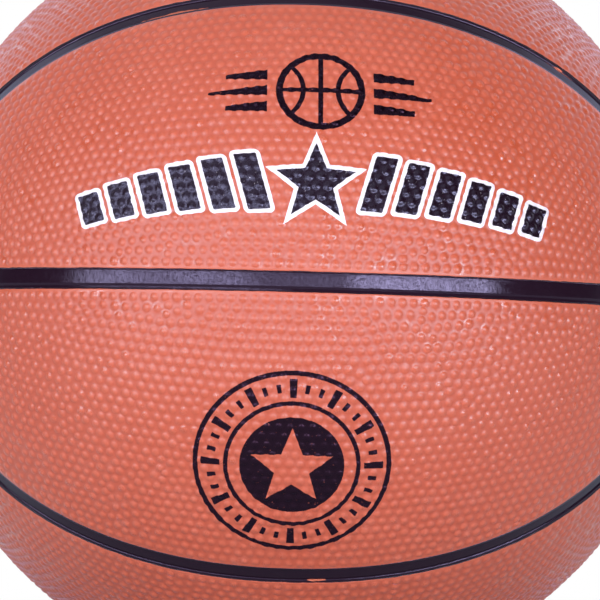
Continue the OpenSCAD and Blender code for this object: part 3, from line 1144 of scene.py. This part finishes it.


# %% [markdown]
# The panels are orange rubber with a satin skin. Its gloss has a cool cast, which is a tint on the shader's
# own specular socket, and a lilac sheen lights up the ball's rim. The valleys between the pebbles are painted
# deeper in colour, as shade in those recesses with a little dirt, and are duller, and here and there a patch
# of pebbles is polished. The ink has a gloss of its own. A share of Metallic, larger in the thin lines than in
# the wide row, takes the white mirror off at grazing angles and keeps the black deep. The black paint of the
# seams runs a little way over the panel's rolled edge, with a ragged border that follows from the distance to
# the seam plus noise, and it is wider towards the ball's left and right.

# %% Panel material
ORANGE = (0.528, 0.098, 0.045, 1)
# Deeper orange: painted shade with a little dirt in the pebbles' valleys, and the colour of scratches.
ORANGE_DEEP = (0.430, 0.065, 0.026, 1)
ORANGE_PALE = (0.578, 0.132, 0.074, 1)
DUST = (0.78, 0.52, 0.50, 1)
GLOSS_TINT = (0.48, 0.82, 1.0, 1)
INK_GLOSS_TINT = (0.56, 0.64, 1.0, 1)
SEAM_PAINT = (0.0200, 0.0082, 0.0188, 1)
INK = (0.0125, 0.0025, 0.0085, 1)
OUTLINE_INK = (0.83, 0.80, 0.93, 1)
OUTLINE_MM = 1.05
ROW_MATT = 0.25
INK_MATT = 0.84
PAINT_MATT = 0.45
PAINT_WIDENING = 0.035
# Millimetres from a seam's centre line: where the pebbles' valleys start, and where the seam's paint ends.
FIELD_EDGE = (3.2, 4.0)
PAINT_EDGE = (2.74, 2.78)


def panel_material(name, printed):
    """Orange pebbled rubber, with the two prints where printed is true. Ink lies where a print's signed
    distance plus a slight wobble is below zero, and its outline where the row's is below its width."""
    material, shader, place = new_material(
        name, IOR=1.5, Specular_IOR_Level=0.82, Specular_Tint=GLOSS_TINT,
        Sheen_Weight=0.70, Sheen_Roughness=0.24, Sheen_Tint=(0.90, 0.55, 1.0, 1))
    skin = rubber_grain(place, 2600.0, 34.0)
    marks = use_group(HANDLING_MARKS, {"Place": place})
    margin = attribute(place.tree, "margin")
    # The valleys between the pebbles are painted deeper in colour: painted shade in these recesses, with a
    # little dirt.
    valley_shade_and_dirt = step_up(attribute(place.tree, "pebble"), 0.0, 0.45, 0.50, 0.0)
    polish = step_up(noise(place, 260.0, 0), 0.58, 0.70)
    colour = blend_colour(skin["Mottle"] * 0.35, ORANGE, ORANGE_PALE)
    colour = blend_colour(valley_shade_and_dirt * step_up(margin, *FIELD_EDGE), colour, ORANGE_DEEP)
    colour = blend_colour(skin["Haze"] * 0.10, colour, DUST)
    colour = blend_colour(marks["Rub"] * 0.30, colour, ORANGE_PALE)
    colour = blend_colour(marks["Scratch"] * 0.30, colour, ORANGE_DEEP)
    roughness = skin["Grain"] * 0.14 + 0.35 - polish * 0.15 + valley_shade_and_dirt * 0.05
    roughness = roughness + skin["Haze"] * 0.05 - marks["Rub"] * 0.10

    matt = 0.0
    if printed:
        wobble = (noise(place, 700.0, 2) - 0.5) * 0.16
        row = upper_row_distance(place) + wobble
        lines = nearest_of(row, ball_icon_distance(place), badge_distance(place)) + wobble * 0.8
        worn = step_up(noise(place, 1500.0, 3, 0.65), 0.66, 0.76, 1.0, 0.35)
        ink = inside(lines) * worn
        outline = inside(row - OUTLINE_MM)
        inked = highest(ink, outline)
        colour = blend_colour(ink, blend_colour(outline, colour, OUTLINE_INK), INK)
        matt = ink * inside(row, ROW_MATT, INK_MATT)
        plug_in(shader["Specular Tint"], blend_colour(inked, GLOSS_TINT, INK_GLOSS_TINT))
        roughness = blend_number(inked, roughness, skin["Grain"] * 0.10 + 0.23)

    ragged = noise(place, 260.0, 4, 0.6) * 0.42 + margin
    sideways = part_of(place, "X") * (1 / MM)
    wider = sideways * sideways * (PAINT_WIDENING * MM)
    paint = step_up(ragged - wider, *PAINT_EDGE, 1.0, 0.0)
    plug_in(shader["Base Color"], blend_colour(paint, colour, SEAM_PAINT))
    plug_in(shader["Metallic"], highest(paint * PAINT_MATT, matt))
    plug_in(shader["Roughness"], blend_number(paint, roughness, 0.26))
    add_bump(shader, skin["Grain"], 0.35, 0.04 * MM)
    return material


PLAIN_PANEL = panel_material("orange_pebbled_rubber", printed=False)
PRINTED_PANEL = panel_material("printed_pebbled_rubber", printed=True)
for panel in PANELS:
    front_inner = panel.name.startswith("pebbled_front") and "inner" in panel.name
    panel.data.materials.append(PRINTED_PANEL if front_inner else PLAIN_PANEL)

# %% [markdown]
# The strips are black rubber. Their floor is smooth from the mould and mirrors the lamps as a violet band
# with fine speckles in it, so one speckle noise varies both the roughness and the bump. As in the ink, some
# Metallic and a low, tinted specular level keep the black deep. In three places a sliver of the black coat is
# missing and the orange rubber under it shows.

# %% Black rubbers
BARE_RUBBER = (0.48, 0.13, 0.075, 1)
STRIP_DUST = (0.30, 0.26, 0.33, 1)
# Middle of a bare sliver, its half length and its distance from the seam's centre line, in millimetres.
BARE_SPOTS = (
    ((-32.7, -79.4, 68.9), 9.0, 1.3),
    ((67.2, -64.1, 59.1), 5.0, -1.4),
    ((6.6, -80.8, -74.5), 2.8, -1.75),
)


def strip_material():
    """Black channel rubber. A bare sliver is where the distance across the strip from its line is less than
    a width that falls from its middle to its ends, plus noise."""
    material, shader, place = new_material(
        "black_channel_rubber", IOR=1.5, Metallic=0.25, Specular_IOR_Level=0.193,
        Specular_Tint=(0.45, 0.64, 1.0, 1))
    skin = rubber_grain(place, 1700.0, 60.0)
    across = attribute(place.tree, "across")
    ragged = noise(place, 420.0, 3) * 0.9 - 0.45
    bare = 0.0
    for spot, reach, side in BARE_SPOTS:
        near = 1.0 - distance_from(place, tuple(length * MM for length in spot)) / (reach * MM)
        sliver = near * 0.42 + ragged - abs(across - side)
        bare = highest(step_up(sliver, -0.04, 0.06), bare)
    colour = blend_colour(skin["Haze"] * 0.02, SEAM_PAINT, STRIP_DUST)
    speckle = noise(place, 1500.0, 2)
    plug_in(shader["Base Color"], blend_colour(bare, colour, BARE_RUBBER))
    plug_in(shader["Roughness"], skin["Grain"] * 0.12 - 0.15 + speckle * 0.42 + skin["Mottle"] * 0.05)
    add_bump(shader, speckle * 2.5 + skin["Grain"], 0.5, 0.024 * MM)
    return material


def plain_rubber(name, colour, dust, roughness, grain_scale, dusting):
    """A moulded rubber in one colour: mottled towards its dusty colour, with its own grain."""
    material, shader, place = new_material(name, IOR=1.5, Specular_IOR_Level=0.5)
    skin = rubber_grain(place, grain_scale, 50.0)
    share = (skin["Haze"] + skin["Mottle"] * 0.3) * dusting
    plug_in(shader["Base Color"], blend_colour(share, colour, dust))
    plug_in(shader["Roughness"], skin["Grain"] * 0.2 + (roughness - 0.1))
    add_bump(shader, skin["Grain"], 0.4, 0.05 * MM)
    return material


channel_rubber = strip_material()
for strip in STRIPS.values():
    strip.data.materials.append(channel_rubber)

# %% [markdown]
# Three skins lie inside and keep the imported model's own shapes: the bladder, the wound nylon and the carcass
# rubber. The thread is drawn as three layers of fine waves that cross at sixty degrees, the way a winding
# machine turns the ball, and the topmost of them wins at each place. Between the bands the colour is painted
# darker, as shade in the gaps.

# %% Inner skins and valve
THREAD = (0.78, 0.73, 0.60, 1)
THREAD_GAP_SHADE = (0.36, 0.31, 0.22, 1)


def thread_material():
    """Wound nylon: bands of thread in three directions, each band rounded, over a darker colour that is
    painted shade in the gaps between them.
    """
    material, shader, place = new_material(
        "wound_nylon_thread", IOR=1.5, Specular_IOR_Level=0.4, Sheen_Weight=0.2, Sheen_Roughness=0.5)
    wave = {"Scale": 190.0, "Distortion": 1.2, "Detail": 1.0, "Detail Scale": 0.6}
    height = 0.0
    for turn in (0, 60, 120):
        rotation = (math.radians(turn), math.radians(turn / 2), math.radians(turn))
        turned = from_node(place.tree, "Mapping", {"Vector": place, "Rotation": rotation})
        bands = from_node(place.tree, "TexWave", {"Vector": turned, **wave}, "Fac")
        height = highest(bands * noise(turned, 26.0, 1), height)
    # Painted shade: the low parts between the thread bands are coloured darker.
    shade = step_up(height, 0.15, 0.6)
    plug_in(shader["Base Color"], blend_colour(shade, THREAD_GAP_SHADE, THREAD))
    plug_in(shader["Roughness"], shade * -0.15 + 0.65)
    add_bump(shader, height, 0.8, 0.3 * MM)
    return material


def dress(piece, material):
    """Gives a piece the material in place of any of its own."""
    piece.data.materials.clear()
    piece.data.materials.append(material)


# Piece, material's name, colour, dusty colour, roughness, scale of the grain and share of dust.
for piece, *finish in (
    (NODES["bladder"], "bladder_butyl",
     (0.022, 0.022, 0.024, 1), (0.42, 0.41, 0.40, 1), 0.45, 1500.0, 0.35),
    (NODES["carcass_rubber"], "carcass_rubber",
     (0.035, 0.030, 0.033, 1), (0.30, 0.28, 0.27, 1), 0.6, 900.0, 0.3),
    (VALVE["valve_housing"], "valve_boss_rubber",
     (0.014, 0.011, 0.014, 1), (0.20, 0.17, 0.19, 1), 0.42, 2400.0, 0.25),
    (VALVE["valve_plug"], "valve_plug_rubber",
     (0.030, 0.025, 0.030, 1), (0.26, 0.23, 0.25, 1), 0.55, 2000.0, 0.3),
):
    dress(piece, plain_rubber(*finish))
dress(NODES["nylon_winding"], thread_material())
print("materials:", len(bpy.data.materials), "groups:", [g.name for g in bpy.data.node_groups])

# %% [markdown]
# The photograph was taken in a white tent, so the set is a white floor that curves up into a white wall, and
# a white world. They show as plain white through Light Path, while the light that they really give the ball
# is set apart from that. In reflections the world is white only behind the ball, because white mirrored from
# the front would lay a veil over the orange. Where the ball rests, a painted shadow turns the floor's white
# grey, and from below the floor is clear. Two long soft boxes stand left and right of the camera at its
# height, with a weak lamp between them, and every pebble and the middle seam's floor mirror them. The lips
# mirror a narrow lamp at the upper left, a broad one above lights the upper panels, and two lilac walls behind
# the ball give its rim a cool cast.

# %% Floor and world
WHITE_LEVEL = 1.0
FLOOR_GREY = 0.45
WORLD_LEVEL = 0.02
SHADOW_REACH = (0.05, 0.16)
SHADOW_LEVEL = 0.35


def white_sweep():
    """A floor under the ball that curves up behind it: a profile of depth and height, straight, a quarter
    circle, straight, carried along X."""
    bend, back, height, half = 0.5, 1.4, 2.2, 3.0
    turn = np.radians(np.linspace(-90, 0, 24))
    depth = np.concatenate([[-3.0], back + bend * np.cos(turn), [back + bend]])
    level = np.concatenate([[0], bend + bend * np.sin(turn), [height]]) - BALL_R
    x = np.array([-half, half])[:, None]
    places = np.stack([x + 0 * depth, depth + 0 * x, level + 0 * x], -1).reshape(-1, 3)
    near = np.arange(len(depth) - 1)
    far = near + len(depth)
    sweep = mesh_piece("white_sweep", places, [np.stack([near, far, far + 1, near + 1], -1)])
    return sweep


def ray(tree, kind):
    """One for rays of a kind, zero for the others."""
    return from_node(tree, "LightPath", None, f"Is {kind} Ray")


def white_to_camera():
    """Material of the set: white for camera, reflected and transmitted rays, with a painted shadow that makes
    it greyer within SHADOW_REACH of the point where the ball rests, a matt grey for all other light, and clear
    from the back."""
    material = bpy.data.materials.new("white_set")
    material.use_nodes = True
    tree = material.node_tree
    tree.nodes.clear()
    place = from_node(tree, "TexCoord", None, "Object")
    away = distance_from(place, (0, 0, -BALL_R))
    glow = from_node(tree, "Emission", {
        "Color": (1, 1, 1, 1),
        # Painted shadow: the white glow is dimmed near the point where the ball rests.
        "Strength": step_up(away, *SHADOW_REACH, SHADOW_LEVEL * WHITE_LEVEL, WHITE_LEVEL),
    })
    matte = from_node(tree, "BsdfDiffuse", {"Color": (FLOOR_GREY, FLOOR_GREY, FLOOR_GREY, 1)})
    seen = highest(highest(ray(tree, "Camera"), ray(tree, "Glossy")), ray(tree, "Transmission"))
    upper_side = from_node(tree, "MixShader", {"Fac": seen, 1: matte, 2: glow})
    underside = from_node(tree, "NewGeometry", None, "Backfacing")
    clear = from_node(tree, "BsdfTransparent")
    surface = from_node(tree, "MixShader", {"Fac": underside, 1: upper_side, 2: clear})
    plug_in(tree.nodes.new("ShaderNodeOutputMaterial").inputs["Surface"], surface)
    return material


def world_light():
    """A white world: plain white to the camera, and to mirrored rays that leave towards the back, where the
    direction's Y is above zero. For all other light it is dim."""
    world = bpy.data.worlds.new("white_tent")
    bpy.context.scene.world = world
    world.use_nodes = True
    tree = world.node_tree
    behind = step_up(part_of(from_node(tree, "TexCoord", None, "Generated"), "Y"), 0.0, 0.3)
    mirrored = highest(ray(tree, "Glossy"), ray(tree, "Transmission"))
    seen = highest(ray(tree, "Camera"), mirrored * behind)
    background = tree.nodes["Background"].inputs
    plug_in(background["Color"], (1, 1, 1, 1))
    plug_in(background["Strength"], seen * (WHITE_LEVEL - WORLD_LEVEL) + WORLD_LEVEL)


white_sweep().data.materials.append(white_to_camera())
world_light()
bpy.context.scene.view_settings.view_transform = "Standard"

# %% Lamps
SOFT_WHITE, PLAIN_WHITE, LILAC = (1.0, 0.98, 1.0), (1.0, 1.0, 1.0), (0.88, 0.80, 1.0)
# Azimuth and elevation in degrees, width and height in metres, watts, colour and distance in metres.
LAMPS = {
    "left_soft_box": (-36, 2, 0.68, 0.054, 2.6, SOFT_WHITE, 0.75),
    "right_soft_box": (33, 2, 0.53, 0.054, 3.3, SOFT_WHITE, 0.75),
    "front_fill": (0, 2, 0.30, 0.054, 0.55, SOFT_WHITE, 0.75),
    "upper_left_light": (-32, 21, 0.73, 0.04, 1.4, SOFT_WHITE, 0.75),
    "tent_roof": (-15, 62, 1.4, 0.90, 2.8, PLAIN_WHITE, 0.9),
    "rear_left_wall": (-137, 30, 0.8, 0.8, 1.5, LILAC, 1.2),
    "rear_right_wall": (137, 30, 0.8, 0.8, 1.8, LILAC, 1.2),
}


def soft_box(name, azimuth, elevation, width, height, watts, colour, distance):
    """A rectangular lamp facing the ball's centre. The azimuth runs from the front towards +X, the
    elevation upwards."""
    lamp = bpy.data.lights.new(name, "AREA")
    lamp.shape = "RECTANGLE"
    lamp.size, lamp.size_y = width, height
    lamp.energy = watts
    lamp.color = colour
    box = bpy.data.objects.new(name, lamp)
    bpy.context.scene.collection.objects.link(box)
    a, e = math.radians(azimuth), math.radians(elevation)
    box.location = Vector((math.sin(a) * math.cos(e), -math.cos(a) * math.cos(e), math.sin(e))) * distance
    box.rotation_euler = (-box.location).to_track_quat("-Z", "Y").to_euler()


for name, settings in LAMPS.items():
    soft_box(name, *settings)
print("lamps:", len(LAMPS), "watts in all:", round(sum(settings[4] for settings in LAMPS.values()), 2))
